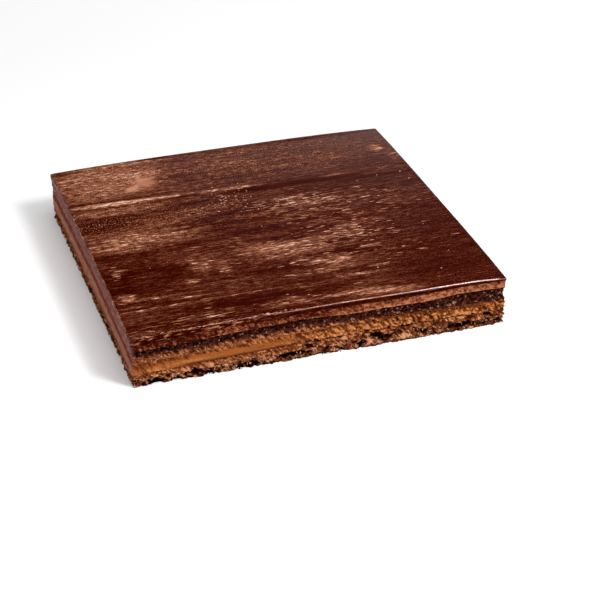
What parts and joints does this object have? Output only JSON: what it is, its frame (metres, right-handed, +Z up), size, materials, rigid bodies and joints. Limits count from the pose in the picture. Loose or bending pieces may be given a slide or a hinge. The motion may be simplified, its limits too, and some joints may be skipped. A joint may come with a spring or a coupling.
{
  "type": "chocolate caramel entremet",
  "caption": "Low rectangular layered cake with a dark brushed glaze, mousse, sponge and caramel bands at its trimmed sides, and a crumbly base.",
  "frame": {"origin": "middle of the flat underside of the cake", "axes": "+Z up through the layers, +X along the long trimmed side that faces the viewer, -Y out of that side"},
  "size_m": [0.286, 0.279, 0.041],
  "materials": {
    "crunch_base": "rough crumb clumps with dark gaps",
    "lower_mousse": "crumbly milk chocolate mousse",
    "caramel": "smooth amber caramel, torn in places",
    "middle_mousse": "chocolate mousse with knife marks",
    "sponge": "dark porous chocolate sponge",
    "top_mousse": "smooth chocolate mousse",
    "glaze": "dark red-brown glaze with brushed tan streaks"
  },
  "bodies": {
    "root": {"crunch_base": "crunch_base", "lower_mousse": "lower_mousse", "caramel": "caramel", "middle_mousse": "middle_mousse", "sponge": "sponge", "top_mousse": "top_mousse", "glaze": "glaze"}
  },
  "joints": []
}
